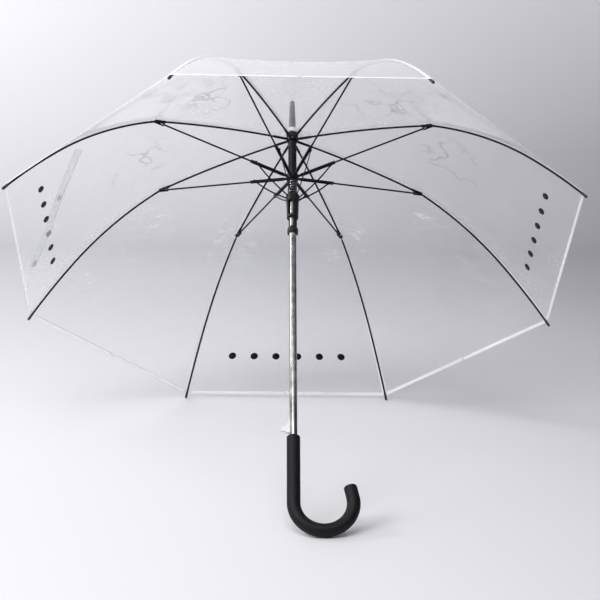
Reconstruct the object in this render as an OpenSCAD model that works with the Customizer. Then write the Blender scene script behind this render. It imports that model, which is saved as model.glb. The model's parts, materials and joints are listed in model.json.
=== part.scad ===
// Clear bubble umbrella: eight ribs under a welded film canopy, a straight
// tube shaft with a sprung runner, and a hooked handle. It is drawn open, lying
// on its hook and its two lowest rib tips, as it does when put down to dry.

/* [Shaft] */
// Outer diameter of the shaft tube
shaft_d = 12.6; // [10:0.1:16]
// Wall of the shaft tube
shaft_wall = 0.8; // [0.5:0.1:1.5]
// Bare shaft left between the folded runner and the handle
handle_gap = 4.9; // [2:0.1:60]

/* [Handle] */
// Diameter of the handle grip
grip_d = 21.5; // [18:0.5:30]
// Length of the straight part of the grip
grip_len = 116; // [80:1:150]
// Radius of the hook, to the middle of the grip
hook_r = 46.5; // [32:0.5:60]
// How far the hook turns, in degrees
hook_turn = 192; // [180:1:215]
// Length of the straight end past the hook
hook_end = 20; // [5:1:40]
// Rounding of the edge at that end
hook_edge = 3; // [1:0.5:6]
// How deep the shaft sits in the grip
shaft_seat = 90; // [60:1:100]

/* [Ribs] */
// Distance from the notch hinge to the clamp, along a straight line
clamp_reach = 250; // [200:1:300]
// Slope of that line below level when open, in degrees
open_slope = 9.6; // [7:0.1:14]
// Slope of the same line when folded, in degrees
folded_slope = 84.6; // [60:0.1:85]
// How far the inner rib bows at each end, in degrees
rib_bow = 4.6; // [1:0.1:8]
// Diameter of the rib rod
rib_d = 3.4; // [2.4:0.1:4]
// Wall of the ferrule at the root of each rib
root_wall = 0.6; // [0.4:0.1:0.8]
// Length of that ferrule
root_len = 26; // [15:1:40]
// Slope of the outer rib where it leaves the clamp, in degrees
outer_slope = 24; // [15:0.5:35]
// Radius of the first stretch of the outer rib
outer_r1 = 510; // [350:5:700]
// Turn of the first stretch of the outer rib, in degrees
outer_turn1 = 23; // [10:0.5:32]
// Radius of the last stretch of the outer rib
outer_r2 = 1000; // [600:10:2000]
// Turn of the last stretch of the outer rib, in degrees
outer_turn2 = 7.4; // [3:0.1:12]
// How far the round tip stands out beyond the rib rod
tip_lip = 0.8; // [0.7:0.1:1.5]
// Length of the sleeve of the tip
tip_len = 11; // [6:0.5:20]

/* [Hub] */
// Distance from the shaft out to the hinge wires
hinge_out = 3.1; // [3:0.1:5]
// Rim of the notch and the stretcher ring outside the hinge wires
hub_rim = 1.1; // [1:0.1:2]
// Height of the notch above its hinge wire
notch_up = 12.4; // [10:0.2:20]
// Diameter of the hinge wires
wire_d = 1.2; // [0.8:0.1:1.4]
// Thickness of the flat eyes that turn on the wires
eye_t = 2.6; // [2:0.1:3]
// Half the height of those eyes
eye_r = 1.9; // [1.6:0.1:2.1]

/* [Stretchers] */
// Distance from the stretcher ring hinge to the link rivet
link_at = 62; // [50:1:80]
// Width of the channel part of a stretcher
channel_w = 4.8; // [4:0.1:5]
// Height of the channel part of a stretcher
channel_h = 3.8; // [3:0.1:4]
// Diameter of the rod part of a stretcher
stretch_d = 3; // [2.4:0.1:3.2]

/* [Runner] */
// Distance from the shaft out to the link hinges in the runner
link_out = 3.9; // [3.8:0.1:5]
// Distance from the stretcher ring hinge down to the link hinge when open
runner_gap = 44; // [40:0.5:48]
// Rim of the runner's top flange outside the link hinges
runner_rim = 1.3; // [1.1:0.1:3]
// Length of the wide body of the runner, below its link hinges
runner_body = 44; // [30:1:50]
// Length of the narrow neck of the runner
runner_neck = 24; // [15:1:28]
// Length of the end flange of the runner
runner_end = 8; // [4:1:12]
// Width of the windows through which the shaft shows
window_w = 9; // [3:0.5:10]

/* [Catch] */
// How far the knob of the catch stands out of the shaft
catch_out = 13; // [9:0.5:16]
// Height of the catch button
catch_h = 25; // [15:1:30]
// Width of the catch button
catch_w = 5.4; // [4:0.1:6]
// Travel of the catch button
catch_travel = 3; // [1:0.5:4]

/* [Canopy] */
// Thickness of the film
film_t = 0.3; // [0.3:0.1:1]
// Gap between the film and the clamps
film_gap = 0.9; // [0.7:0.1:2]
// Distance from the end of a rib back to the hem
hem_back = 5; // [3:0.5:12]

/* [Top] */
// Length of the top spike
spike_len = 66; // [30:1:90]
// Diameter of the straight foot of the top spike
spike_d = 12; // [9:0.5:16]
// Length of that foot
spike_foot = 14; // [8:1:20]
// Diameter of the rosette that clamps the film
rosette_d = 23; // [22:0.5:34]
// Height of the rosette
rosette_h = 11; // [4:0.5:16]

/* [Hidden] */
ARMS = 8;

$fn = 48;
play = 0.3;             // clearance of moving pieces
fit = 0.05;             // clearance of pieces pushed together
pin_play = 0.1;         // clearance of an eye on its rivet
wire_play = 0.3;        // clearance of an eye on a curved hinge wire
cut = 1;                // how far a cutter runs past a face
arm_step = 360 / ARMS;

shaft_r = shaft_d / 2;
sleeve_r = shaft_r + play;
grip_r = grip_d / 2;
hinge_r = shaft_r + hinge_out;
notch_d = 2 * (hinge_r + hub_rim);
link_hinge_r = shaft_r + link_out;
runner_d = 2 * (link_hinge_r + runner_rim);
root_d = rib_d + 2 * root_wall;
tip_d = rib_d + 2 * tip_lip;
clamp_r = rib_d / 2 + 0.6;
film_off = clamp_r + film_gap;

// Heights along the shaft; zero is the middle of the notch joint
notch_hinge_z = -6;
ring_hinge_z = notch_hinge_z - 2 * clamp_reach * sin(open_slope);
runner_hinge_z = ring_hinge_z - runner_gap;
notch_top_z = notch_hinge_z + notch_up;

// Where the link's rivet and its foot lie when open
link_p = [hinge_r + link_at * cos(open_slope), ring_hinge_z + link_at * sin(open_slope)];
link_foot = [link_hinge_r, runner_hinge_z];
link_gap = norm(link_p - link_foot);
link_slope = atan2(link_p[1] - link_foot[1], link_p[0] - link_foot[0]);

// How low the runner comes when folded; the handle starts below it
runner_len = runner_body + runner_neck + runner_end;
folded_ring_z = notch_hinge_z - 2 * clamp_reach * sin(folded_slope);
folded_p = [hinge_r + link_at * cos(folded_slope), folded_ring_z + link_at * sin(folded_slope)];
folded_foot_z = folded_p[1] - sqrt(pow(link_gap, 2) - pow(folded_p[0] - link_hinge_r, 2));
grip_top_z = folded_foot_z - runner_len - handle_gap;
hook_z = grip_top_z - grip_len;

// Notch, buffer spring and stretcher ring
notch_low = 3.4;
neck_r = sleeve_r + 0.4;
neck_len = 15.6;
ring_up = 6;
ring_down = 5;
spring_wire = 1.6;
spring_r = shaft_r + play + spring_wire / 2 + 0.1;
spring_turns = 6;
buffer_pitch = 1.6;
slot_w = eye_t + 2 * play;
slot_r = hinge_r - eye_r - play;

// Runner
flange_up = 4;
flange_down = 8;
runner_body_r = runner_d / 2 - 0.5;
runner_waist_r = runner_body_r - 1;
runner_neck_r = shaft_r + 1.2;
runner_end_r = shaft_r + 3.2;
runner_low_z = runner_hinge_z - runner_len;

// Clamp at the end of the inner rib: a tongue, two cheeks and an outer fork
tongue_t = 1.6;
cheek_in = tongue_t / 2 + play;
cheek_out = cheek_in + 0.9;
fork_in = cheek_out + play;
fork_out = fork_in + 0.8;
rivet_r = 0.8;
clamp_len = 12;
fork_len = 15;

// Links lie beside the stretchers
link_t = 1.1;
link_y = channel_w / 2 + play + link_t / 2;
link_bow = 9;

// Catch
catch_z = grip_top_z + 6;
catch_in = shaft_r - shaft_wall - 0.6;

// Inner rib: an arc from the notch hinge to the clamp
clamp_x = hinge_r + clamp_reach * cos(open_slope);
clamp_z = notch_hinge_z - clamp_reach * sin(open_slope);
inner_r = clamp_reach / 2 / sin(rib_bow);
inner_t0 = open_slope - rib_bow;
inner_t1 = open_slope + rib_bow;

// Points on an arc that bends downwards; a slope is measured below level
function arc_mid(p, t, r) = [p[0] - r * sin(t), p[1] - r * cos(t)];
function arc_at(c, t, r) = [c[0] + r * sin(t), c[1] + r * cos(t)];
inner_c = arc_mid([hinge_r, notch_hinge_z], inner_t0, inner_r);

// Outer rib: two arcs, one after the other
outer_t1 = outer_slope + outer_turn1;
outer_t2 = outer_t1 + outer_turn2;
outer_c1 = arc_mid([clamp_x, clamp_z], outer_slope, outer_r1);
outer_p1 = arc_at(outer_c1, outer_t1, outer_r1);
outer_c2 = arc_mid(outer_p1, outer_t1, outer_r2);
rib_end = arc_at(outer_c2, outer_t2, outer_r2);
tip_ball = [rib_end[0] + (tip_d / 2 - 1) * cos(outer_t2), rib_end[1] - (tip_d / 2 - 1) * sin(outer_t2)];

// Lean at which the hook and the two lowest tips touch the floor together
low_reach = tip_ball[0] * cos(arm_step / 2);
low_drop = tip_ball[1] - (hook_z - hook_r);
lean = atan2(low_drop, low_reach)
    + asin((grip_r - tip_d / 2) / norm([low_reach, low_drop]));
rise = grip_r - (hook_z - hook_r) * cos(lean);

// The film reaches furthest back, and the hook furthest forward
back_y = max([for (p = film_line(film_off + film_t)) p[0] * cos(arm_step / 2) * cos(lean) + p[1] * sin(lean)]);
front_y = (hook_z - hook_r) * sin(lean) - grip_r;

module place() {
    translate([0, -(back_y + front_y) / 2, rise])
        rotate([-lean, 0, 0])
            children();
}

// Arm k points away from the shaft, with Y along its hinge axes
module arm(k) {
    place()
        rotate([0, 0, arm_step * (k - 0.5)])
            children();
}

// A shape turned to lie along a slope at a point of the arm's plane
module along(p, slope) {
    translate([p[0], 0, p[1]])
        rotate([0, slope, 0])
            children();
}

// A round rod bent to an arc in the arm's plane
module bent_rod(c, r, t0, t1, d) {
    translate([c[0], 0, c[1]])
        rotate([90, 0, 0])
            rotate([0, 0, 90 - t1])
                rotate_extrude(angle = t1 - t0, $fn = 96)
                    translate([r, 0])
                        circle(d = d, $fn = 24);
}

// A rod from x0 to x1 along X
module rod(x0, x1, d) {
    translate([x0, 0, 0])
        rotate([0, 90, 0])
            cylinder(d = d, h = x1 - x0);
}

// A pin along Y
module cross_pin(r, y0, y1) {
    translate([0, y1, 0])
        rotate([90, 0, 0])
            cylinder(r = r, h = y1 - y0);
}

// A ring of wire round the shaft
module wire_ring(z, d) {
    translate([0, 0, z])
        rotate_extrude($fn = 96)
            translate([hinge_r, 0])
                circle(d = d, $fn = 24);
}

// Slots for the eyes, open outwards, from z0 to z1
module eye_slots(z0, z1, outer_r) {
    for (k = [1:ARMS])
        rotate([0, 0, arm_step * (k - 0.5)])
            translate([slot_r, -slot_w / 2, z0])
                cube([outer_r, slot_w, z1 - z0]);
}

module shaft_tube() {
    low = grip_top_z - shaft_seat;
    color([0.72, 0.73, 0.75])
        place()
            difference() {
                translate([0, 0, low])
                    cylinder(d = shaft_d, h = notch_top_z - 2 - low);
                translate([0, 0, low - cut])
                    cylinder(r = shaft_r - shaft_wall, h = notch_top_z - 2 - low + 2 * cut);
                translate([-shaft_r - cut, -catch_w / 2 - play, catch_z - play])
                    cube([shaft_r, catch_w + 2 * play, catch_h + 2 * play]);
            }
}

// A round bar whose upper edge is taken off in two steps
module eased_end(r, h, edge) {
    shoulder = edge * 0.3;
    cylinder(r = r, h = h - edge);
    translate([0, 0, h - edge])
        cylinder(r1 = r, r2 = r - shoulder, h = edge - shoulder);
    translate([0, 0, h - shoulder])
        cylinder(r1 = r - shoulder, r2 = r - edge, h = shoulder);
}

module handle_grip() {
    lip = 1.5;
    end_step = 0.2;
    hook_lean = hook_turn - 180;
    color([0.06, 0.06, 0.065])
        place()
            difference() {
                union() {
                    translate([0, 0, hook_z])
                        cylinder(r = grip_r, h = grip_len - lip);
                    translate([0, 0, grip_top_z - lip])
                        cylinder(r1 = grip_r, r2 = grip_r - lip, h = lip);
                    translate([hook_r, 0, hook_z])
                        rotate([90, 0, 0])
                            rotate([0, 0, 180])
                                rotate_extrude(angle = hook_turn, $fn = 96)
                                    translate([hook_r, 0])
                                        circle(r = grip_r);
                    translate([hook_r * (1 + cos(hook_lean)), 0, hook_z + hook_r * sin(hook_lean)])
                        rotate([0, -hook_lean, 0])
                            translate([0, 0, -cut])
                                eased_end(grip_r - end_step, hook_end + cut, hook_edge);
                }
                translate([0, 0, grip_top_z - shaft_seat - 1])
                    cylinder(r = shaft_r + fit, h = shaft_seat + 1 + cut);
            }
}

// A knob on a wedge that passes through the shaft's slot
module catch_button() {
    wedge_out = 5;
    knob_low = 2;
    knob_top = 12;
    color([0.9, 0.9, 0.88])
        place() {
            translate([-catch_in, -catch_w / 2, catch_z])
                cube([catch_in * 0.4, catch_w, catch_h]);
            translate([0, catch_w / 2, catch_z])
                rotate([90, 0, 0])
                    linear_extrude(catch_w)
                        polygon([[-catch_in, 0], [-shaft_r - wedge_out, 0], [-shaft_r - wedge_out, knob_low],
                            [-shaft_r - catch_out, knob_low + 1], [-shaft_r - catch_out, knob_top],
                            [-shaft_r - wedge_out - 1, knob_top - 1], [-shaft_r - wedge_out + 1, catch_h * 0.7],
                            [-shaft_r - play, catch_h], [-catch_in, catch_h]]);
        }
}

module top_spike() {
    nose_d = spike_d * 0.75;
    color([0.07, 0.07, 0.075])
        place()
            translate([0, 0, notch_top_z + rosette_h + film_t + 2 * play]) {
                cylinder(d = spike_d, h = spike_foot);
                translate([0, 0, spike_foot])
                    cylinder(d1 = spike_d, d2 = nose_d, h = spike_len - spike_foot - nose_d / 2);
                translate([0, 0, spike_len - nose_d / 2])
                    sphere(d = nose_d);
            }
}

// The rosette clamps the film on the notch, and its stem goes down the tube
module top_rosette() {
    stem_r = shaft_r - shaft_wall - fit;
    stem_len = 18;
    color([0.88, 0.89, 0.9])
        place()
            translate([0, 0, notch_top_z + film_t + 2 * play]) {
                cylinder(d1 = rosette_d, d2 = rosette_d * 0.7, h = rosette_h);
                translate([0, 0, -stem_len])
                    cylinder(r = stem_r, h = stem_len);
            }
}

module top_notch() {
    color([0.08, 0.08, 0.085])
        place()
            difference() {
                union() {
                    translate([0, 0, notch_hinge_z - notch_low])
                        cylinder(d = notch_d, h = notch_up + notch_low);
                    translate([0, 0, notch_hinge_z - notch_low - neck_len])
                        cylinder(r1 = neck_r, r2 = neck_r + 0.2, h = neck_len);
                }
                translate([0, 0, notch_hinge_z - notch_low - neck_len - cut])
                    cylinder(r = shaft_r + fit, h = notch_up + notch_low + neck_len + 2 * cut);
                eye_slots(notch_hinge_z - notch_low - cut, notch_hinge_z + eye_r + 2.4, notch_d);
                wire_ring(notch_hinge_z, wire_d + 2 * fit);
                translate([0, 0, notch_hinge_z - notch_low - cut])
                    difference() {
                        cylinder(d = notch_d + 2 * cut, h = notch_low + cut);
                        translate([0, 0, -cut])
                            cylinder(r = hinge_r + wire_d / 4, h = notch_low + 3 * cut);
                    }
            }
}

module notch_wire() {
    color([0.5, 0.5, 0.52])
        place()
            wire_ring(notch_hinge_z, wire_d);
}

// A close-wound spring that takes the last of the ring's travel
module buffer_spring() {
    top = notch_hinge_z - notch_low - neck_len - play;
    low = ring_hinge_z + ring_up + play;
    turns = floor((top - low) / buffer_pitch);
    inner = shaft_r + 0.15;
    color([0.12, 0.12, 0.13])
        place()
            for (i = [0:turns - 1])
                translate([0, 0, low + i * buffer_pitch])
                    difference() {
                        union() {
                            cylinder(r1 = neck_r - 0.1, r2 = neck_r + 0.3, h = buffer_pitch / 2);
                            translate([0, 0, buffer_pitch / 2])
                                cylinder(r1 = neck_r + 0.3, r2 = neck_r - 0.1, h = buffer_pitch / 2);
                        }
                        translate([0, 0, -cut])
                            cylinder(r = inner, h = buffer_pitch + 2 * cut);
                    }
}

module stretcher_ring() {
    color([0.08, 0.08, 0.085])
        place()
            difference() {
                translate([0, 0, ring_hinge_z - ring_down])
                    cylinder(d = notch_d, h = ring_up + ring_down);
                translate([0, 0, ring_hinge_z - ring_down - cut])
                    cylinder(r = sleeve_r, h = ring_up + ring_down + 2 * cut);
                eye_slots(ring_hinge_z - eye_r - 0.8, ring_hinge_z + ring_up + cut, notch_d);
                wire_ring(ring_hinge_z, wire_d + 2 * fit);
            }
}

module ring_wire() {
    color([0.5, 0.5, 0.52])
        place()
            wire_ring(ring_hinge_z, wire_d);
}

// An open helix between the stretcher ring and the runner
module opening_spring() {
    top = ring_hinge_z - ring_down - play - spring_wire / 2;
    low = runner_hinge_z + flange_up + play + spring_wire / 2;
    steps = 20;
    sides = 8;
    rings = spring_turns * steps;
    points = [for (i = [0:rings], j = [0:sides - 1])
        let (a = 360 * i / steps, b = 360 * j / sides, r = spring_r + spring_wire / 2 * cos(b))
        [r * cos(a), r * sin(a), low + (top - low) * i / rings + spring_wire / 2 * sin(b)]];
    sides_faces = [for (i = [0:rings - 1], j = [0:sides - 1])
        let (n = (j + 1) % sides)
        [i * sides + j, (i + 1) * sides + j, (i + 1) * sides + n, i * sides + n]];
    caps = [[for (j = [0:sides - 1]) j], [for (j = [sides - 1:-1:0]) rings * sides + j]];
    color([0.1, 0.1, 0.11])
        place()
            polyhedron(points, concat(sides_faces, caps));
}

module runner() {
    window_turn = 248;
    window_lip = 4;
    color([0.09, 0.09, 0.095])
        place()
            difference() {
                union() {
                    translate([0, 0, runner_hinge_z - flange_down])
                        cylinder(d = runner_d, h = flange_up + flange_down);
                    translate([0, 0, runner_hinge_z - runner_body])
                        cylinder(r1 = runner_waist_r, r2 = runner_body_r, h = runner_body - flange_down);
                    translate([0, 0, runner_hinge_z - runner_body - runner_neck])
                        cylinder(r = runner_neck_r, h = runner_neck);
                    translate([0, 0, runner_low_z])
                        cylinder(r = runner_end_r, h = runner_end);
                }
                translate([0, 0, runner_low_z - cut])
                    cylinder(r = sleeve_r, h = runner_hinge_z + flange_up - runner_low_z + 2 * cut);
                for (k = [1:ARMS])
                    rotate([0, 0, arm_step * (k - 0.5)])
                        translate([link_hinge_r - eye_r - 2 * play, link_y - link_t / 2 - play,
                            runner_hinge_z - eye_r - 2 * play])
                            cube([runner_d, link_t + 2 * play, flange_up + eye_r + 2 * play + cut]);
                translate([-runner_d, -catch_w / 2 - play, runner_low_z - cut])
                    cube([runner_d, catch_w + 2 * play, runner_neck + runner_end + cut]);
                rotate([0, 0, window_turn]) {
                    translate([0, -window_w / 2, runner_hinge_z - runner_body + window_lip])
                        cube([runner_d, window_w, runner_body - flange_down - 1.5 * window_lip]);
                    translate([0, -window_w * 0.4, runner_low_z + runner_end + window_lip])
                        cube([runner_d, window_w * 0.8, runner_neck - 1.5 * window_lip]);
                }
            }
}

module rib_inner(k) {
    turn = 2 * rib_bow;
    root_turn = turn * root_len / clamp_reach;
    rod_turn = turn * (1 - (clamp_len - 3) / clamp_reach);
    blade = 7;
    color([0.1, 0.1, 0.105])
        arm(k) {
            difference() {
                along([hinge_r, notch_hinge_z], inner_t0) {
                    cross_pin(eye_r, -eye_t / 2, eye_t / 2);
                    translate([0, -eye_t / 2, -eye_r])
                        cube([blade, eye_t, 2 * eye_r]);
                }
                along([hinge_r, notch_hinge_z], inner_t0)
                    cross_pin(wire_d / 2 + wire_play, -eye_t, eye_t);
            }
            bent_rod(inner_c, inner_r, inner_t0 + turn * (blade - 1) / clamp_reach, inner_t0 + root_turn, root_d);
            bent_rod(inner_c, inner_r, inner_t0 + root_turn, inner_t0 + rod_turn, rib_d);
            along([clamp_x, clamp_z], inner_t1) {
                rod(-clamp_len - 6, -clamp_len + 4, 2 * clamp_r);
                for (side = [-1, 1])
                    translate([-clamp_len + 3, side > 0 ? cheek_in : -cheek_out, -clamp_r])
                        cube([clamp_len - 3, cheek_out - cheek_in, 2 * clamp_r]);
                for (side = [-1, 1])
                    cross_pin(clamp_r, side > 0 ? cheek_in : -cheek_out, side > 0 ? cheek_out : -cheek_in);
                cross_pin(rivet_r, -fork_out - play, fork_out + play);
                for (side = [-1, 1])
                    cross_pin(rivet_r * 1.9, side > 0 ? fork_out + play : -fork_out - 2.5 * play,
                        side > 0 ? fork_out + 2.5 * play : -fork_out - play);
            }
        }
}

module rib_outer(k) {
    start = clamp_len - 4;
    start_turn = start / outer_r1 * 180 / PI;
    end_turn = (tip_len - 2) / outer_r2 * 180 / PI;
    color([0.1, 0.1, 0.105])
        arm(k) {
            along([clamp_x, clamp_z], outer_slope + start_turn / 2)
                difference() {
                    union() {
                        cross_pin(clamp_r * 0.85, -tongue_t / 2, tongue_t / 2);
                        translate([0, -tongue_t / 2, -rib_d / 2])
                            cube([start + 3, tongue_t, rib_d]);
                    }
                    cross_pin(rivet_r + pin_play, -tongue_t, tongue_t);
                }
            bent_rod(outer_c1, outer_r1, outer_slope + start_turn, outer_t1, rib_d);
            bent_rod(outer_c2, outer_r2, outer_t1, outer_t2 - end_turn, rib_d);
        }
}

// A plug pushed over the rib's end, with a round nose outside the hem
module rib_tip(k) {
    tip_wall = 0.6;
    color([0.14, 0.14, 0.15])
        arm(k) {
            along(rib_end, outer_t2) {
                rod(-tip_len + 2 + fit, 0, rib_d + 2 * tip_wall);
                translate([tip_d / 2 - 1, 0, 0])
                    sphere(d = tip_d);
            }
        }
}

// The channel part near the shaft carries the link's rivet, the rod part
// runs out to a fork that straddles the clamp
module stretcher(k) {
    eye_len = ring_up + 2.6;
    channel_end = link_at + 9;
    rod_end = clamp_reach - fork_len;
    color([0.1, 0.1, 0.105])
        arm(k)
            along([hinge_r, ring_hinge_z], -open_slope) {
                difference() {
                    union() {
                        cross_pin(eye_r, -eye_t / 2, eye_t / 2);
                        translate([0, -eye_t / 2, -eye_r])
                            cube([eye_len, eye_t, 2 * eye_r]);
                    }
                    cross_pin(wire_d / 2 + wire_play, -eye_t, eye_t);
                }
                difference() {
                    translate([eye_len - 2, -channel_w / 2, -channel_h / 2])
                        cube([channel_end - eye_len + 2, channel_w, channel_h]);
                    translate([eye_len + 1, -channel_w / 2 + 0.8, -channel_h / 2 - cut])
                        cube([channel_end - eye_len - 6, channel_w - 1.6, channel_h - 0.8 + cut]);
                }
                translate([link_at, 0, 0]) {
                    cross_pin(rivet_r, -channel_w / 2, link_y + link_t / 2 + play);
                    cross_pin(rivet_r * 1.9, link_y + link_t / 2 + play, link_y + link_t / 2 + 3 * play);
                }
                rod(channel_end, rod_end + 1, stretch_d);
                translate([rod_end, -fork_out, -stretch_d / 2])
                    cube([1.6, 2 * fork_out, stretch_d]);
                for (side = [-1, 1])
                    translate([rod_end + 1.6, side > 0 ? fork_in : -fork_out, 0])
                        fork_cheek(clamp_reach - rod_end - 1.6);
            }
}

module fork_cheek(length) {
    difference() {
        union() {
            translate([0, 0, -stretch_d / 2])
                cube([length, fork_out - fork_in, stretch_d]);
            translate([length, 0, 0])
                cross_pin(stretch_d / 2 + 0.2, 0, fork_out - fork_in);
        }
        translate([length, 0, 0])
            cross_pin(rivet_r + pin_play, -cut, fork_out);
    }
}

// A flat strip bowed away from the shaft, with an eye at each end
module link(k) {
    link_arc_r = link_gap / 2 / sin(link_bow);
    color([0.1, 0.1, 0.105])
        arm(k)
            translate([link_foot[0], link_y, link_foot[1]])
                rotate([0, -link_slope, 0])
                    difference() {
                        union() {
                            cross_pin(eye_r, -link_t / 2, link_t / 2);
                            translate([link_gap, 0, 0])
                                cross_pin(eye_r, -link_t / 2, link_t / 2);
                            translate([link_gap / 2, link_t / 2, link_arc_r * cos(link_bow)])
                                rotate([90, 0, 0])
                                    rotate([0, 0, 270 - link_bow])
                                        rotate_extrude(angle = 2 * link_bow, $fn = 96)
                                            translate([link_arc_r - 1.2, 0])
                                                square([2.4, link_t]);
                        }
                        for (x = [0, link_gap])
                            translate([x, 0, 0])
                                cross_pin(rivet_r + pin_play, -link_t, link_t);
                    }
}

// Profile of the film in the plane of a rib, from the rosette to the hem
function steps_of(c, r, t0, t1, n) = [for (i = [0:n]) arc_at(c, t0 + (t1 - t0) * i / n, r)];
function film_line(off) = concat(
    [[8, notch_top_z + play + off - film_off], [12.5, notch_top_z + play + off - film_off],
     [20 + (off - film_off) / 2, 6 + (off - film_off)]],
    steps_of(inner_c, inner_r + off, inner_t0 + 1.2, inner_t1, 8),
    steps_of(outer_c1, outer_r1 + off, outer_slope, outer_t1, 12),
    steps_of(outer_c2, outer_r2 + off, outer_t1 + 0.6, outer_t2 - hem_back / outer_r2 * 180 / PI, 4));
function reversed(v) = [for (i = [len(v) - 1:-1:0]) v[i]];

// One welded panel between two ribs, straight across from rib to rib
module canopy_gore(k) {
    squeeze = cos(arm_step / 2);
    reach = rib_end[0] + 20;
    line = concat(film_line(film_off), reversed(film_line(film_off + film_t)));
    flat = [for (p = line) [p[0] * squeeze, p[1]]];
    edge = 0.02;
    color([0.86, 0.9, 0.92, 0.35])
        place()
            rotate([0, 0, arm_step * k])
                intersection() {
                    translate([0, reach, 0])
                        rotate([90, 0, 0])
                            linear_extrude(2 * reach)
                                polygon(flat);
                    translate([0, 0, rib_end[1] - reach])
                        linear_extrude(2 * reach)
                            polygon([[edge, 0], [reach, (reach - edge) * tan(arm_step / 2)],
                                [reach, -(reach - edge) * tan(arm_step / 2)]]);
                }
}

shaft_tube();
handle_grip();
catch_button();
top_spike();
top_rosette();
top_notch();
notch_wire();
buffer_spring();
stretcher_ring();
ring_wire();
opening_spring();
runner();
for (k = [1:ARMS]) {
    rib_inner(k);
    rib_outer(k);
    rib_tip(k);
    stretcher(k);
    link(k);
    canopy_gore(k);
}
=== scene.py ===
"""Looks of a clear bubble umbrella, lying open on its hook and two rib tips."""
import json
import math

import bmesh
import bpy
from mathutils import Matrix, Vector


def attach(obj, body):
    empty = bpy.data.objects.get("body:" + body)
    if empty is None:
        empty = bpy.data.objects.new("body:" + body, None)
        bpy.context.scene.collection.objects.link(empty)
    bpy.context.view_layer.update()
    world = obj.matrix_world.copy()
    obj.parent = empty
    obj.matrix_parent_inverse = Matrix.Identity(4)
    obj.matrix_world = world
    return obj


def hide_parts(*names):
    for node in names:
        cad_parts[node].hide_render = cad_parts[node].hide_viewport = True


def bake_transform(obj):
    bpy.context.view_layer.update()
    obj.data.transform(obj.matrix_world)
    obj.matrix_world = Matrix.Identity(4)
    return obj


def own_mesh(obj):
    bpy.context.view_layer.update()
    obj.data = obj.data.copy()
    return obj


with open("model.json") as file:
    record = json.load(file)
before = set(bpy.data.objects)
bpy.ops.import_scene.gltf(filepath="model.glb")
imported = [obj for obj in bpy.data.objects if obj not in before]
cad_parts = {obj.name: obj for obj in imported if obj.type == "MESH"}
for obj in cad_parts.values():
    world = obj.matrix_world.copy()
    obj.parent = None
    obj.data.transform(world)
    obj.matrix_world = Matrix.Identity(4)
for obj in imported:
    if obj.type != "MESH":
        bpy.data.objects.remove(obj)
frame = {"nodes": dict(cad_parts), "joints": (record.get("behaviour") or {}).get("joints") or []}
NODES = frame["nodes"]
MM = 0.001
ARM_COUNT = 8
ARMS = range(1, ARM_COUNT + 1)
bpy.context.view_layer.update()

# ------------------------------------------------------------------ camera

LENS_MM = 99.56
SENSOR_MM = 36
FAR_CLIP = 50
CAMERA_PLACE = (-0.0676, -2.7196, 0.9866)
CAMERA_PAN = math.radians(-1.698)
CAMERA_DIP = math.radians(14.486)
CAMERA_ROLL = math.radians(1.128)


def make_camera():
    """The camera stands in front of the open side and looks a little down."""
    data = bpy.data.cameras.new("camera")
    data.sensor_width = SENSOR_MM
    data.lens = LENS_MM
    data.clip_end = FAR_CLIP
    camera = bpy.data.objects.new("camera", data)
    camera.location = CAMERA_PLACE
    camera.rotation_mode = "XYZ"
    look = Matrix.Rotation(CAMERA_PAN, 4, "Z")
    look @= Matrix.Rotation(math.pi / 2 - CAMERA_DIP, 4, "X")
    look @= Matrix.Rotation(CAMERA_ROLL, 4, "Z")
    camera.rotation_euler = look.to_euler("XYZ")
    bpy.context.scene.collection.objects.link(camera)
    bpy.context.scene.camera = camera


make_camera()

# ------------------------------------------------- the umbrella's own frame

JOINTS = {joint["name"]: joint for joint in frame["joints"]}


def joint_place(name):
    return Vector(JOINTS[name]["pos_m"])


def fold_name(k):
    return "canopy_fold" if k == 1 else f"rib_fold_{k}"


NOTCH = sum((joint_place(fold_name(k)) for k in ARMS), Vector()) / ARM_COUNT
UP = Vector(JOINTS["runner_slide"]["axis"]).normalized()
ACROSS = {k: Vector(JOINTS[fold_name(k)]["axis"]).normalized() for k in ARMS}
OUT = {k: ACROSS[k].cross(UP).normalized() for k in ARMS}
HALF_STEP = math.pi / ARM_COUNT


def place(k, x, y, z):
    """A point of arm k, from its distance out, across and up from the notch hinge."""
    return NOTCH + OUT[k] * x + ACROSS[k] * y + UP * z


def arm_matrix(k):
    """Turns arm coordinates into the row frame."""
    turn = Matrix((OUT[k], ACROSS[k], UP)).transposed().to_4x4()
    return Matrix.Translation(NOTCH) @ turn


CLAMP_X = (joint_place("rib_flex_1") - NOTCH).dot(OUT[1])
CLAMP_Z = (joint_place("rib_flex_1") - NOTCH).dot(UP)
HINGE_X = (joint_place("canopy_fold") - NOTCH).dot(OUT[1])
ARM_REACH = math.hypot(CLAMP_X - HINGE_X, CLAMP_Z)

# ------------------------------------------------------------ small helpers


def new_object(name, shape, smooth=True):
    """A finished mesh object from a bmesh, which is used up."""
    mesh = bpy.data.meshes.new(name)
    shape.to_mesh(mesh)
    shape.free()
    for face in mesh.polygons:
        face.use_smooth = smooth
    piece = bpy.data.objects.new(name, mesh)
    bpy.context.scene.collection.objects.link(piece)
    return piece


def finish_piece(piece, body, material):
    piece.data.materials.append(material)
    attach(piece, body)
    return piece


def span_on_shaft(node):
    """Lowest and highest place of a node along the shaft, from the notch hinge."""
    heights = [(v.co - NOTCH).dot(UP) for v in NODES[node].data.vertices]
    return min(heights), max(heights)


def new_material(name):
    material = bpy.data.materials.new(name)
    material.use_nodes = True
    tree = material.node_tree
    tree.nodes.clear()
    output = tree.nodes.new("ShaderNodeOutputMaterial")
    return material, tree, output


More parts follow.
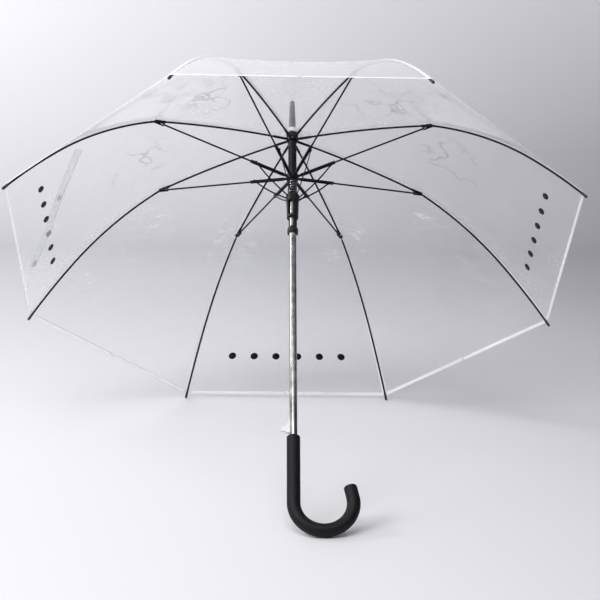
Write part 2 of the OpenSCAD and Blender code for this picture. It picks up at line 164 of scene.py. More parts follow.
def add_node(tree, kind, **values):
    node = tree.nodes.new(kind)
    for key, value in values.items():
        if key in node.inputs:
            node.inputs[key].default_value = value
        else:
            setattr(node, key, value)
    return node


def object_noise(tree, scale, detail=3, roughness=0.5, stretch=(1, 1, 1)):
    """Noise on Object coordinates."""
    coordinates = tree.nodes.new("ShaderNodeTexCoord")
    mapping = tree.nodes.new("ShaderNodeMapping")
    mapping.inputs["Scale"].default_value = stretch
    noise = add_node(tree, "ShaderNodeTexNoise", Scale=scale, Detail=detail, Roughness=roughness)
    tree.links.new(coordinates.outputs["Object"], mapping.inputs["Vector"])
    tree.links.new(mapping.outputs["Vector"], noise.inputs["Vector"])
    return noise


def ramp(tree, source, low, high, colour_low, colour_high):
    node = tree.nodes.new("ShaderNodeValToRGB")
    node.color_ramp.elements[0].position = low
    node.color_ramp.elements[1].position = high
    node.color_ramp.elements[0].color = colour_low
    node.color_ramp.elements[1].color = colour_high
    tree.links.new(source, node.inputs["Fac"])
    return node.outputs["Color"]


def grey(value):
    return (value, value, value, 1)


def object_parts(tree):
    """The separate X, Y and Z of the Object coordinates."""
    coordinates = tree.nodes.new("ShaderNodeTexCoord")
    parts = tree.nodes.new("ShaderNodeSeparateXYZ")
    tree.links.new(coordinates.outputs["Object"], parts.inputs["Vector"])
    return parts


def stretch_range(tree, source, low, high):
    """0 where the source is low and 1 where it is high."""
    node = add_node(tree, "ShaderNodeMapRange")
    node.inputs["From Min"].default_value = low
    node.inputs["From Max"].default_value = high
    tree.links.new(source, node.inputs["Value"])
    return node.outputs["Result"]


def combine(tree, operation, first, second, clamped=False):
    """Two sources joined by a sum, a product or a maximum."""
    node = add_node(tree, "ShaderNodeMath", operation=operation, use_clamp=clamped)
    tree.links.new(first, node.inputs[0])
    tree.links.new(second, node.inputs[1])
    return node.outputs["Value"]


def scaled(tree, source, factor, clamped=False):
    node = add_node(tree, "ShaderNodeMath", operation="MULTIPLY", use_clamp=clamped)
    node.inputs[1].default_value = factor
    tree.links.new(source, node.inputs[0])
    return node.outputs["Value"]


def mixed(tree, share, first, second):
    """Two shaders mixed by a linked share."""
    node = tree.nodes.new("ShaderNodeMixShader")
    tree.links.new(share, node.inputs["Fac"])
    tree.links.new(first, node.inputs[1])
    tree.links.new(second, node.inputs[2])
    return node.outputs["Shader"]


def bumped(tree, source, strength, distance, shaders):
    """A bump that the given shaders share."""
    relief = add_node(tree, "ShaderNodeBump", Strength=strength, Distance=distance)
    tree.links.new(source, relief.inputs["Height"])
    for shader in shaders:
        tree.links.new(relief.outputs["Normal"], shader.inputs["Normal"])
    return relief.outputs["Normal"]


BROAD_TO_FINE = 12
GRAIN_DEPTH = 0.0004


def moulded(name, dark, light, rough, grain, bump, metallic=0.0, shine=0.5):
    """A solid finish: colour and roughness vary a little, with a fine bump."""
    material, tree, output = new_material(name)
    shader = add_node(tree, "ShaderNodeBsdfPrincipled", Metallic=metallic)
    shader.inputs["Specular IOR Level"].default_value = shine
    broad = object_noise(tree, grain / BROAD_TO_FINE, 4)
    fine = object_noise(tree, grain, 2)
    colour = ramp(tree, broad.outputs["Fac"], 0.3, 0.7, dark, light)
    worn = ramp(tree, broad.outputs["Fac"], 0.25, 0.75, grey(rough[0]), grey(rough[1]))
    bumped(tree, fine.outputs["Fac"], bump, GRAIN_DEPTH, (shader,))
    tree.links.new(colour, shader.inputs["Base Color"])
    tree.links.new(worn, shader.inputs["Roughness"])
    tree.links.new(shader.outputs["BSDF"], output.inputs["Surface"])
    return material


# Where the film gets painted crease shade and painted highlight glints: distance to the right or left, Y, Z
# and reach, in metres.
CREASE_SHADE_AT = ((0.193, 0.023, 0.624, 0.1), (0.15, 0.081, 0.607, 0.08), (0.275, 0.146, 0.494, 0.08))
GLINTS_AT = ((0.338, 0.233, 0.29, 0.085), (0.106, 0.34, 0.31, 0.075), (0.25, 0.25, 0.36, 0.06))


MARK_CORE = 0.35


def near_places(tree, places):
    """How near the film is to the given places, the same left and right; it places the painted crease shade
    and the painted glints.
    """
    parts = object_parts(tree)
    width = add_node(tree, "ShaderNodeMath", operation="ABSOLUTE")
    tree.links.new(parts.outputs["X"], width.inputs[0])
    joined = tree.nodes.new("ShaderNodeCombineXYZ")
    for source, axis in ((width.outputs["Value"], "X"), (parts.outputs["Y"], "Y"), (parts.outputs["Z"], "Z")):
        tree.links.new(source, joined.inputs[axis])
    nearest = None
    for x, y, z, reach in places:
        away = add_node(tree, "ShaderNodeVectorMath", operation="DISTANCE")
        away.inputs[1].default_value = (x, y, z)
        tree.links.new(joined.outputs["Vector"], away.inputs[0])
        near = stretch_range(tree, away.outputs["Value"], reach, reach * MARK_CORE)
        nearest = near if nearest is None else combine(tree, "MAXIMUM", nearest, near)
    return nearest


def film_glints(tree, patches):
    """Painted highlights: fine bright streaks that whiten the film at the listed places."""
    streaks = object_noise(tree, 60, 5, 0.65, (0.3, 1, 1.5))
    glint = ramp(tree, streaks.outputs["Fac"], 0.5, 0.68, grey(0), grey(0.5))
    where = combine(tree, "MULTIPLY", patches, near_places(tree, GLINTS_AT))
    return combine(tree, "MULTIPLY", glint, where)


def film_tint_and_crease_shade(tree, patches):
    """The film's own tint, with painted shade along thin crease lines at the listed places."""
    folds = object_noise(tree, 13, 3, 0.55, (1, 0.7, 1.5))
    line = ramp(tree, folds.outputs["Fac"], 0.475, 0.525, grey(0), grey(0))
    # The dark crease lines are painted shade in the see-through colour.
    line.node.color_ramp.elements.new(0.5).color = grey(1)
    where = combine(tree, "MULTIPLY", patches, near_places(tree, CREASE_SHADE_AT))
    crease_shade = combine(tree, "MULTIPLY", line, where)
    return ramp(tree, crease_shade, 0, 1, (0.985, 0.987, 0.992, 1), (0.6, 0.6, 0.63, 1))


def milky_body(tree, through_share, painted_glow):
    """The cloudy share of the film, lit on its face and from behind, and carrying a faint painted glow of its
    own.
    """
    milky = add_node(tree, "ShaderNodeBsdfPrincipled", Roughness=0.3)
    milky.inputs["Base Color"].default_value = (0.95, 0.955, 0.97, 1)
    # Painted glow: the milky share emits a little light, though the film is no lamp.
    milky.inputs["Emission Color"].default_value = (0.97, 0.97, 1, 1)
    milky.inputs["Emission Strength"].default_value = painted_glow
    lit_through = add_node(tree, "ShaderNodeBsdfTranslucent", Color=(0.96, 0.965, 0.975, 1))
    cloud = add_node(tree, "ShaderNodeMixShader", Fac=through_share)
    tree.links.new(milky.outputs["BSDF"], cloud.inputs[1])
    tree.links.new(lit_through.outputs["BSDF"], cloud.inputs[2])
    return milky, cloud.outputs["Shader"]


RIM_LIFT = 1.3
RIM_BLEND = 0.28
FILM_IOR = 1.45
FILM_WAVE = 0.004


def clear_film(name, haze, glare, through_share=0.35, painted_glow=0.0):
    """Soft clear film: mostly see-through, with a milky veil, painted crease shade, painted highlight glints,
    a faint painted glow, a whiter rim at grazing angles and a gloss.
    """
    material, tree, output = new_material(name)
    through = tree.nodes.new("ShaderNodeBsdfTransparent")
    milky, cloud = milky_body(tree, through_share, painted_glow)
    gloss = add_node(tree, "ShaderNodeBsdfGlossy", Roughness=0.07)
    gloss.inputs["Color"].default_value = (1, 1, 1, 1)
    waves = object_noise(tree, 9, 5, 0.62, (1, 1, 1.7))
    surface = bumped(tree, waves.outputs["Fac"], 0.35, FILM_WAVE, (milky, gloss))
    patchy = object_noise(tree, 7, 2, 0.5)
    patches = ramp(tree, patchy.outputs["Fac"], 0.4, 0.54, grey(0.15), grey(1))
    tree.links.new(film_tint_and_crease_shade(tree, patches), through.inputs["Color"])
    veil = ramp(tree, waves.outputs["Fac"], 0.35, 0.72, grey(haze[0]), grey(haze[1]))
    # The milky veil is the film's own haze; the glints added to it are painted highlights.
    haze_and_glints = combine(tree, "ADD", veil, film_glints(tree, patches), clamped=True)
    # The milky share grows at grazing angles: partly the film's haze seen edge-on, partly a painted sheen
    # standing in for light caught there.
    rim = add_node(tree, "ShaderNodeLayerWeight", Blend=RIM_BLEND)
    tree.links.new(surface, rim.inputs["Normal"])
    grazing = combine(tree, "MULTIPLY", scaled(tree, rim.outputs["Facing"], RIM_LIFT), rim.outputs["Facing"])
    milky_and_glint_share = combine(tree, "ADD", haze_and_glints, grazing, clamped=True)
    body = mixed(tree, milky_and_glint_share, through.outputs["BSDF"], cloud)
    shine = add_node(tree, "ShaderNodeFresnel", IOR=FILM_IOR)
    tree.links.new(surface, shine.inputs["Normal"])
    gleam = scaled(tree, shine.outputs["Fac"], glare, clamped=True)
    tree.links.new(mixed(tree, gleam, body, gloss.outputs["BSDF"]), output.inputs["Surface"])
    return material


def plated_steel(name):
    """Bright plated tube with faint drawing lines and a mottled sheen."""
    material, tree, output = new_material(name)
    shader = add_node(tree, "ShaderNodeBsdfPrincipled", Metallic=1.0)
    mottle = object_noise(tree, 55, 4, 0.6)
    lines = object_noise(tree, 700, 2, 0.5, (1, 0.06, 0.06))
    colour = ramp(tree, mottle.outputs["Fac"], 0.3, 0.7, (0.3, 0.28, 0.27, 1), (0.62, 0.61, 0.61, 1))
    worn = ramp(tree, mottle.outputs["Fac"], 0.3, 0.75, grey(0.12), grey(0.3))
    bumped(tree, lines.outputs["Fac"], 0.12, 0.0003, (shader,))
    tree.links.new(colour, shader.inputs["Base Color"])
    tree.links.new(worn, shader.inputs["Roughness"])
    tree.links.new(shader.outputs["BSDF"], output.inputs["Surface"])
    return material


# The film and the milky welds carry a faint painted glow (0.14 and 0.3), so that they read brighter than the
# backdrop.
FILM = clear_film("clear_film", (0.05, 0.14), 0.62, 0.35, 0.14)
WELD = clear_film("milky_weld", (0.42, 0.68), 0.5, 0.3, 0.3)
STRAP_FILM = clear_film("strap_film", (0.03, 0.08), 0.5)
STEEL = plated_steel("plated_steel")
COAL, COAL_LIT = (0.004, 0.004, 0.005, 1), (0.009, 0.009, 0.01, 1)
GRIP_DARK, GRIP_LIT = (0.006, 0.006, 0.007, 1), (0.01, 0.01, 0.012, 1)
GRIP = moulded("soft_touch_grip", GRIP_DARK, GRIP_LIT, (0.45, 0.58), 900, 0.25, shine=0.18)
RIB_BLACK = moulded("coated_rib", COAL, COAL_LIT, (0.3, 0.42), 600, 0.12, shine=0.14)
FRAME_BLACK = moulded("painted_steel", COAL, COAL_LIT, (0.24, 0.4), 500, 0.1, shine=0.14)
HUB_BLACK = moulded("moulded_hub", GRIP_DARK, (0.014, 0.013, 0.014, 1), (0.3, 0.45), 700, 0.15, shine=0.3)
SPIKE_GREY = moulded(
    "moulded_spike", (0.03, 0.028, 0.032, 1), (0.055, 0.052, 0.058, 1), (0.35, 0.5), 400, 0.2
)
SPRING_BLACK = moulded(
    "spring_wire", (0.008, 0.008, 0.01, 1), (0.02, 0.02, 0.022, 1), (0.25, 0.38), 500, 0.08, 0.3, 0.35
)
WIRE = moulded("drawn_wire", (0.4, 0.4, 0.42, 1), (0.55, 0.55, 0.57, 1), (0.25, 0.4), 800, 0.08, 1.0)
WHITE_PLASTIC = moulded("white_plastic", (0.7, 0.7, 0.68, 1), (0.84, 0.84, 0.82, 1), (0.25, 0.38), 500, 0.06)
ROSETTE_WHITE = moulded("milky_plastic", (0.62, 0.63, 0.64, 1), (0.8, 0.81, 0.82, 1), (0.25, 0.4), 300, 0.06)
TIP_BLACK = moulded("moulded_tip", (0.015, 0.015, 0.017, 1), (0.03, 0.03, 0.033, 1), (0.35, 0.5), 900, 0.1)
PRINT = moulded("black_print", COAL, COAL_LIT, (0.4, 0.55), 900, 0.05, shine=0.2)

FINISHES = {
    "shaft_tube": STEEL,
    "handle_grip": GRIP,
    "catch_button": WHITE_PLASTIC,
    "top_spike": SPIKE_GREY,
    "top_rosette": ROSETTE_WHITE,
    "top_notch": HUB_BLACK,
    "notch_wire": WIRE,
    "ring_wire": WIRE,
    "buffer_spring": SPRING_BLACK,
    "stretcher_ring": HUB_BLACK,
    "runner": HUB_BLACK,
}
ARM_FINISHES = {
    "rib_inner": RIB_BLACK,
    "rib_outer": RIB_BLACK,
    "rib_tip": TIP_BLACK,
    "stretcher": FRAME_BLACK,
    "link": FRAME_BLACK,
}


def dress_frame():
    """Gives each carried-over node its finish."""
    finishes = dict(FINISHES)
    for kind, material in ARM_FINISHES.items():
        finishes.update({f"{kind}_{k}": material for k in ARMS})
    for node, material in finishes.items():
        mesh = NODES[node].data
        mesh.materials.clear()
        mesh.materials.append(material)


# ---------------------------------------------------------- the film's shape

RIB_BOW = math.radians(4.6)
OPEN_SLOPE = math.atan2(-CLAMP_Z, CLAMP_X - HINGE_X)
OUTER_SLOPE = math.radians(24)
OUTER_ARCS = ((510 * MM, math.radians(23)), (1000 * MM, math.radians(7.4)))
FILM_RISE = 3.2 * MM
HEM_BACK = 5 * MM
LINE_STEP = 2 * MM
NOTCH_TOP = span_on_shaft("top_notch")[1]
# The film's fall over the notch: distance out and height, first from the notch's top, then from the hinge.
OVER_NOTCH = ((9, 0), (15, 0), (17.5, -2.8))
ONTO_RIB = ((21, 6.4), (26, 3.6), (33, 1.9))
FILM_OVER_NOTCH = 0.55 * MM
ROOT_SKIPPED = 0.13
ARC_SKIPPED = 0.02
SMOOTHING = 15


def arc_points(start, slope, radius, turn, rise, first=0.0):
    """Points above an arc that bends down from start, and the arc's own end."""
    middle = (start[0] - radius * math.sin(slope), start[1] - radius * math.cos(slope))
    count = max(2, int(radius * turn / LINE_STEP))
    points = []
    for i in range(count + 1):
        angle = slope + turn * (first + (1 - first) * i / count)
        reach = radius + rise
        points.append((middle[0] + reach * math.sin(angle), middle[1] + reach * math.cos(angle)))
    end = slope + turn
    return points, (middle[0] + radius * math.sin(end), middle[1] + radius * math.cos(end))


def even_points(points, longer):
    """Points at even steps along a line, up to its end or that much past or short of it."""
    lengths = [0]
    for a, b in zip(points, points[1:]):
        lengths.append(lengths[-1] + math.dist(a, b))
    whole = lengths[-1] + longer
    count = int(whole / LINE_STEP)
    even, i = [], 0
    for n in range(count + 1):
        at = whole * n / count
        while lengths[i + 1] < at:
            i += 1
        share = (at - lengths[i]) / (lengths[i + 1] - lengths[i])
        even.append([points[i][j] + (points[i + 1][j] - points[i][j]) * share for j in (0, 1)])
    return even


def film_line():
    """The film's line over a rib, from the rosette to the hem, evenly spaced and smoothed."""
    top = NOTCH_TOP + FILM_OVER_NOTCH
    points = [(x * MM, top + z * MM) for x, z in OVER_NOTCH]
    points += [(x * MM, z * MM) for x, z in ONTO_RIB]
    inner_radius = ARM_REACH / 2 / math.sin(RIB_BOW)
    root, root_slope = (HINGE_X, 0), OPEN_SLOPE - RIB_BOW
    line, start = arc_points(root, root_slope, inner_radius, 2 * RIB_BOW, FILM_RISE, ROOT_SKIPPED)
    points += line
    slope = OUTER_SLOPE
    for radius, turn in OUTER_ARCS:
        line, start = arc_points(start, slope, radius, turn, FILM_RISE, ARC_SKIPPED)
        points += line
        slope += turn
    even = even_points(points, -HEM_BACK)
    for _ in range(SMOOTHING):
        even = [even[0]] + [
            [(a[j] + 2 * b[j] + c[j]) / 4 for j in (0, 1)] for a, b, c in zip(even, even[1:], even[2:])
        ] + [even[-1]]
    return even


LINE = film_line()
LINE_LENGTH = LINE_STEP * (len(LINE) - 1)
INWARD = math.sin(HALF_STEP) ** 2
SIDEWAYS = math.sin(HALF_STEP) * math.cos(HALF_STEP)


DEEPEST_SAG = 8 * MM
SAG_POWER = 1.2
SLOPE_STEP = 0.004
HALVINGS = 40


def on_line(share):
    """The film's distance out and height over the rib, at a share of its length."""
    at = min(max(share, 0), 1) * (len(LINE) - 1)
    i = min(int(at), len(LINE) - 2)
    a, b = LINE[i], LINE[i + 1]
    return [a[j] + (b[j] - a[j]) * (at - i) for j in (0, 1)]


def share_at_reach(reach):
    """The share of the line at which it is that far out."""
    low, high = 0.0, 1.0
    for _ in range(HALVINGS):
        middle = (low + high) / 2
        if on_line(middle)[0] < reach:
            low = middle
        else:
            high = middle
    return low


def sag(share, across):
    """How far the film hangs in between two ribs."""
    t = abs(across)
    return DEEPEST_SAG * math.sin(math.pi * min(1, share)) ** SAG_POWER * t * (2 - t)


def film_place(k, share, across, lift=0.0):
    """A point of the film: across is 0 over rib k and 1 or -1 half way to the next one."""
    out, up = on_line(share)
    ahead, behind = on_line(share + SLOPE_STEP), on_line(share - SLOPE_STEP)
    slope = Vector((ahead[0] - behind[0], ahead[1] - behind[1])).normalized()
    t = abs(across)
    side = 1 if across >= 0 else -1
    drop = sag(share, across) - lift
    normal = Vector((-slope.y * math.cos(HALF_STEP), side * -slope.y * math.sin(HALF_STEP), slope.x))
    normal = normal.normalized()
    x = out * (1 - INWARD * t) - normal.x * drop
    y = side * out * SIDEWAYS * t - normal.y * drop
    return place(k, x, y, up - normal.z * drop)


def clamp_share(across):
    """Where the film crosses the clamp's hinge line."""
    return share_at_reach(CLAMP_X / (1 - INWARD * abs(across)))


def shaped_sheet(name, k, across, shares, lift=0.0, thick=0.0, steps=(24, 40)):
    """A grid laid on the film, from one side to the other and between two shares."""
    shape = bmesh.new()
    bmesh.ops.create_grid(shape, x_segments=steps[0], y_segments=steps[1], size=0.5)
    uv = shape.loops.layers.uv.new("film")
    for face in shape.faces:
        for loop in face.loops:
            loop[uv].uv = (loop.vert.co.x + 0.5, loop.vert.co.y + 0.5)
    for vert in shape.verts:
        u, v = vert.co.x + 0.5, vert.co.y + 0.5
        side = across[0] + (across[1] - across[0]) * u
        low, high = shares[0](side), shares[1](side)
        vert.co = film_place(k, low + (high - low) * v, side, lift)
    if thick:
        bmesh.ops.solidify(shape, geom=shape.faces[:], thickness=thick)
        bmesh.ops.recalc_face_normals(shape, faces=shape.faces[:])
    else:
        outside = sum((f.normal.dot(f.calc_center_median() - NOTCH + UP * 0.6) for f in shape.faces))
        if outside < 0:
            bmesh.ops.reverse_faces(shape, faces=shape.faces[:])
    return new_object(name, shape)


# ------------------------------------------------------------ canopy pieces

HEM_WIDTH = 5.8 * MM
SEAM_WIDTH = 7.5 * MM
UPPER_KEEP = 0.28
INNER_KEEP = 0.17
OUTER_KEEP = 0.12
CROWN_END = 36 * MM / LINE_LENGTH
BAND_END = 140 * MM / LINE_LENGTH
PANEL_SPARE = 0.02
WELD_LIFT = 0.35 * MM
WELD_THICK = 0.3 * MM
PATCH_START = 3.4 * MM / LINE_LENGTH
PATCH_END = 11 * MM / LINE_LENGTH
PATCH_ROWS = 14
PATCH_LIFT = 0.7 * MM
PATCH_THICK = 0.4 * MM


def crumple(piece):
    """Gives the piece its own copy of its mesh; nothing here gathers the film towards its rib as the umbrella
    folds.
    """
    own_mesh(piece)


def film_panel(k, part, shares, body):
    piece = shaped_sheet(f"film_{part}_{k}", k, (-1, 1), shares)
    finish_piece(piece, body, FILM)
    width = 2 * on_line(shares[1](0))[0] * math.tan(HALF_STEP)
    length = max(shares[1](t) for t in (0, 1)) - min(shares[0](t) for t in (0, 1))
    crumple(piece)
    return piece, (round(width, 3), round(length * LINE_LENGTH + PANEL_SPARE, 3))


def weld_strip(name, k, across, shares, body, steps):
    piece = shaped_sheet(name, k, across, shares, lift=WELD_LIFT, thick=WELD_THICK, steps=steps)
    finish_piece(piece, body, WELD)
    crumple(piece)
    return piece


def seam_half_width(share):
    return SEAM_WIDTH / 2 / (on_line(share)[0] * SIDEWAYS)


def canopy_arm(k):
    """The film that belongs to one rib, in bands from the rosette to the hem, with its welds."""
    inner, outer = f"inner_{k}", f"outer_{k}"
    hem_start = 1 - HEM_WIDTH / LINE_LENGTH
    crown_end, band_end = (lambda t: CROWN_END), (lambda t: BAND_END)
    crown = shaped_sheet(f"film_crown_{k}", k, (-1, 1), (lambda t: 0, crown_end), steps=(16, 24))
    crown.data.materials.append(FILM)
    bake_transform(crown)
    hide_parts(f"canopy_gore_{k}")
    for part, shares, middle, body, rib, keep in (
        ("upper", (crown_end, band_end), (CROWN_END, BAND_END), inner, "rib_inner", UPPER_KEEP),
        ("inner", (band_end, clamp_share), (BAND_END, clamp_share(0)), inner, "rib_inner", INNER_KEEP),
        ("outer", (clamp_share, lambda t: 1), (clamp_share(0), hem_start), outer, "rib_outer", OUTER_KEEP),
    ):
        panel, flat = film_panel(k, part, shares, body)
        half = seam_half_width(sum(middle) / 2)
        ends = tuple((lambda t, share=share: share) for share in middle)
        going = [weld_strip(f"seam_{part}_{k}", k, (-half, half), ends, body, (4, 50))]
        if part == "outer":
            hem = (lambda t: hem_start), (lambda t: 1)
            going.append(weld_strip(f"hem_{k}", k, (-1, 1), hem, body, (48, 3)))


def crown_patch():
    """A milky round patch that strengthens the film round the rosette."""
    shape = bmesh.new()
    step = (PATCH_END - PATCH_START) / PATCH_ROWS
    line = [on_line(PATCH_START + step * i) for i in range(PATCH_ROWS + 1)]
    verts = [shape.verts.new((x, 0, z + PATCH_LIFT)) for x, z in line]
    edges = [shape.edges.new(pair) for pair in zip(verts, verts[1:])]
    bmesh.ops.spin(shape, geom=verts + edges, axis=(0, 0, 1), cent=(0, 0, 0), dvec=(0, 0, 0),
                   angle=2 * math.pi, steps=72, use_merge=True)
    bmesh.ops.remove_doubles(shape, verts=shape.verts[:], dist=0.01 * MM)
    bmesh.ops.recalc_face_normals(shape, faces=shape.faces[:])
    bmesh.ops.solidify(shape, geom=shape.faces[:], thickness=PATCH_THICK)
    bmesh.ops.recalc_face_normals(shape, faces=shape.faces[:])
    shape.transform(arm_matrix(1))
    finish_piece(new_object("crown_patch", shape), "frame", WELD)


LAID_THICK = 0.25 * MM


def laid_patch(name, k, share, across, size, turn, material, lift, steps=(10, 10), round_one=False):
    """A small patch laid on an outer panel; size is its width across and its length along the film."""
    shape = bmesh.new()
    if round_one:
        bmesh.ops.create_circle(shape, cap_ends=True, segments=28, radius=0.5)
    else:
        bmesh.ops.create_grid(shape, x_segments=steps[0], y_segments=steps[1], size=0.5)
    half_width = on_line(share)[0] * SIDEWAYS
    for vert in shape.verts:
        u, v = vert.co.x * size[0], vert.co.y * size[1]
        turned = (u * math.cos(turn) - v * math.sin(turn), u * math.sin(turn) + v * math.cos(turn))
        vert.co = film_place(k, share + turned[1] / LINE_LENGTH, across + turned[0] / half_width, lift)
    bmesh.ops.solidify(shape, geom=shape.faces[:], thickness=LAID_THICK)
    bmesh.ops.recalc_face_normals(shape, faces=shape.faces[:])
    piece = new_object(name, shape)
    finish_piece(piece, f"outer_{k}", material)
    crumple(piece)


MARK_SHARE = 0.87
MARK_DOTS = (0.12, 0.36, 0.6)
MARK_SIZE = 13 * MM
MARK_LIFT = -0.3 * MM
STRAP_WIDTH = 18 * MM
STRAP_LIFT = -0.5 * MM
STRAP_PARTS = ((5, 0.785, -0.57, 150 * MM, 0.95), (4, 0.905, 0.8, 80 * MM, 0.76))
SNAP_SIZE = 11 * MM
SNAP_LIFT = -1.6 * MM
SNAPS = ((5, 0.812, -0.7), (4, 0.945, 0.66))


def printed_mark(gore):
    """A plain row of six dots near the hem, half on each of the two arms beside a gore."""
    for k, side in ((gore, 1), (gore % ARM_COUNT + 1, -1)):
        for n, away in enumerate(MARK_DOTS, 1):
            across = side * (1 - away)
            name, size = f"mark_{gore}_{k}_{n}", (MARK_SIZE, MARK_SIZE)
            laid_patch(name, k, MARK_SHARE, across, size, 0, PRINT, MARK_LIFT, round_one=True)


def closing_strap():
    """A strap of the same film in two strips across neighbouring panels, with a round snap on each."""
    for k, share, across, length, turn in STRAP_PARTS:
        size = (STRAP_WIDTH, length)
        laid_patch(f"closing_strap_{k}", k, share, across, size, turn, STRAP_FILM, STRAP_LIFT, steps=(6, 40))
    for k, share, across in SNAPS:
        size = (SNAP_SIZE, SNAP_SIZE)
        laid_patch(f"strap_snap_{k}", k, share, across, size, 0, WHITE_PLASTIC, SNAP_LIFT, round_one=True)


SPRING_WIRE = 0.8 * MM
SPRING_TURNS = 6
TURN_STEPS = 28
WIRE_SIDES = 10


def opening_spring():
    """The coil between the stretcher ring and the runner; here it is one rigid piece carried by the ring,
    though the real coil closes up as they meet.
    """
    low, high = span_on_shaft("opening_spring")
    reach = max(
        ((v.co - NOTCH) - UP * (v.co - NOTCH).dot(UP)).length for v in NODES["opening_spring"].data.vertices
    )
    steps = SPRING_TURNS * TURN_STEPS
    shape = bmesh.new()
    ring = bmesh.ops.create_circle(shape, segments=WIRE_SIDES, radius=SPRING_WIRE)
    bmesh.ops.rotate(shape, verts=ring["verts"], matrix=Matrix.Rotation(math.pi / 2, 3, "X"))
    bmesh.ops.translate(shape, verts=ring["verts"], vec=(reach - SPRING_WIRE, 0, low + SPRING_WIRE))
    bmesh.ops.spin(
        shape,
        geom=shape.verts[:] + shape.edges[:],
        axis=(0, 0, 1),
        cent=(0, 0, 0),
        dvec=(0, 0, (high - low - 2 * SPRING_WIRE) / steps),
        angle=2 * math.pi * SPRING_TURNS,
        steps=steps,
    )
    bmesh.ops.holes_fill(shape, edges=shape.edges[:], sides=WIRE_SIDES + 2)
    bmesh.ops.recalc_face_normals(shape, faces=shape.faces[:])
    shape.transform(arm_matrix(1))
    piece = new_object("opening_coil", shape)
    finish_piece(piece, "ring", SPRING_BLACK)
    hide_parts("opening_spring")
    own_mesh(piece)


# ------------------------------------------------------------- set and light


FLOOR_FRONT = -6
FLOOR_HALF = 7
BACKDROP_Y = 1.6
BACKDROP_BEND = 1.5
BACKDROP_TOP = 7
BEND_STEPS = 16


def floor_shape():
    """A floor that bends up into a backdrop."""
    profile = [(FLOOR_FRONT, 0), (BACKDROP_Y, 0)]
    for i in range(1, BEND_STEPS + 1):
        angle = math.pi / 2 * i / BEND_STEPS
        rise = BACKDROP_BEND - BACKDROP_BEND * math.cos(angle)
        profile.append((BACKDROP_Y + BACKDROP_BEND * math.sin(angle), rise))
    profile.append((BACKDROP_Y + BACKDROP_BEND, BACKDROP_TOP))
    shape = bmesh.new()
    verts = [shape.verts.new((-FLOOR_HALF, y, z)) for y, z in profile]
    edges = [shape.edges.new(pair) for pair in zip(verts, verts[1:])]
    made = bmesh.ops.extrude_edge_only(shape, edges=edges)
    moved = [g for g in made["geom"] if isinstance(g, bmesh.types.BMVert)]
    bmesh.ops.translate(shape, verts=moved, vec=(2 * FLOOR_HALF, 0, 0))
    bmesh.ops.recalc_face_normals(shape, faces=shape.faces[:])
    return shape


# Painted shade on the floor: its tone near the camera, in a darker middle band and far up the backdrop, with
# RIGHT_SHADE darkening the right side.
NEAR_TONE = (0.79, 0.785, 0.815, 1)
MIDDLE_SHADE = (0.53, 0.525, 0.56, 1)
FAR_TONE = (0.88, 0.875, 0.9, 1)
RIGHT_SHADE = (0.7, 0.7, 0.715, 1)


def pale_floor():
    """Pale paper with painted shade: greyer in a band further back and on the right."""
    material, tree, output = new_material("pale_floor")
    shader = add_node(tree, "ShaderNodeBsdfPrincipled", Roughness=0.6)
    parts = object_parts(tree)
    depth = stretch_range(tree, parts.outputs["Y"], -1, 3)
    tone = ramp(tree, depth, 0.3, 0.95, NEAR_TONE, FAR_TONE)
    tone.node.color_ramp.elements.new(0.66).color = MIDDLE_SHADE
    side = stretch_range(tree, parts.outputs["X"], -0.2, 1.1)
    band = ramp(tree, stretch_range(tree, parts.outputs["Y"], 0, 3), 0.12, 0.95, grey(0), grey(0.2))
    for share in (0.4, 0.76):
        band.node.color_ramp.elements.new(share).color = grey(1)
    darker = add_node(tree, "ShaderNodeMixRGB", blend_type="MULTIPLY", Color2=RIGHT_SHADE)
    tree.links.new(combine(tree, "MULTIPLY", side, band), darker.inputs["Fac"])
    tree.links.new(tone, darker.inputs["Color1"])
    tree.links.new(darker.outputs["Color"], shader.inputs["Base Color"])
    tree.links.new(shader.outputs["BSDF"], output.inputs["Surface"])
    return material


def floor_sheet():
    """A pale floor that curves up into a backdrop behind the umbrella."""
    floor = new_object("floor", floor_shape())
    floor.data.materials.append(pale_floor())


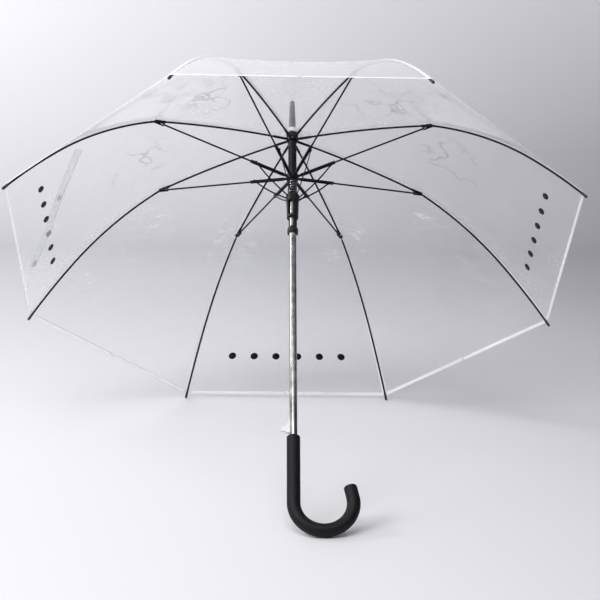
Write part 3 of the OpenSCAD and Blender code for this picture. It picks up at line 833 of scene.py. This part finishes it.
def soft_light(name, place_at, target, size, power):
    data = bpy.data.lights.new(name, "AREA")
    data.shape = "RECTANGLE"
    data.size, data.size_y = size
    data.energy = power
    lamp = bpy.data.objects.new(name, data)
    lamp.location = place_at
    lamp.rotation_euler = (Vector(target) - Vector(place_at)).to_track_quat("-Z", "Y").to_euler()
    bpy.context.scene.collection.objects.link(lamp)


def dark_card(name, middle, size):
    """A black card off to one side that gives the plated tube its dark edge."""
    shape = bmesh.new()
    bmesh.ops.create_cube(shape, size=1)
    for vert in shape.verts:
        vert.co = Vector(middle) + Vector([a * b for a, b in zip(vert.co, size)])
    card = new_object(name, shape, smooth=False)
    material, tree, output = new_material("black_card")
    shader = add_node(tree, "ShaderNodeBsdfPrincipled", Roughness=0.9)
    shader.inputs["Base Color"].default_value = (0.01, 0.01, 0.01, 1)
    tree.links.new(shader.outputs["BSDF"], output.inputs["Surface"])
    card.data.materials.append(material)
    card.visible_camera = False


SOFT_LIGHTS = (
    ("key_left", (-2.3, -1.7, 2.3), (0, -0.2, 0.3), (1.8, 1.4), 62),
    ("overhead_front", (-0.4, -1.3, 2.5), (-0.1, -0.6, 0), (1.8, 1.2), 30),
    ("backdrop_left", (-2.6, 0.9, 2.3), (-0.7, 3.0, 1.1), (1.4, 1.0), 60),
)
CARD_MIDDLE = (1.55, -0.5, 0.8)
CARD_SIZE = (0.02, 3.4, 1.8)
SKY_COLOUR = (0.88, 0.88, 0.94, 1)
SKY_STRENGTH = 0.3


def studio():
    """The floor, the soft lights, the dark card and an even sky."""
    floor_sheet()
    for light in SOFT_LIGHTS:
        soft_light(*light)
    dark_card("card_right", CARD_MIDDLE, CARD_SIZE)
    world = bpy.data.worlds.new("studio")
    world.use_nodes = True
    sky = world.node_tree.nodes["Background"]
    sky.inputs["Color"].default_value = SKY_COLOUR
    sky.inputs["Strength"].default_value = SKY_STRENGTH
    bpy.context.scene.world = world
    bpy.context.scene.view_settings.view_transform = "Standard"


MARKED_GORES = (2, 4, 8)

dress_frame()
for arm in ARMS:
    canopy_arm(arm)
crown_patch()
opening_spring()
for gore_number in MARKED_GORES:
    printed_mark(gore_number)
closing_strap()
studio()
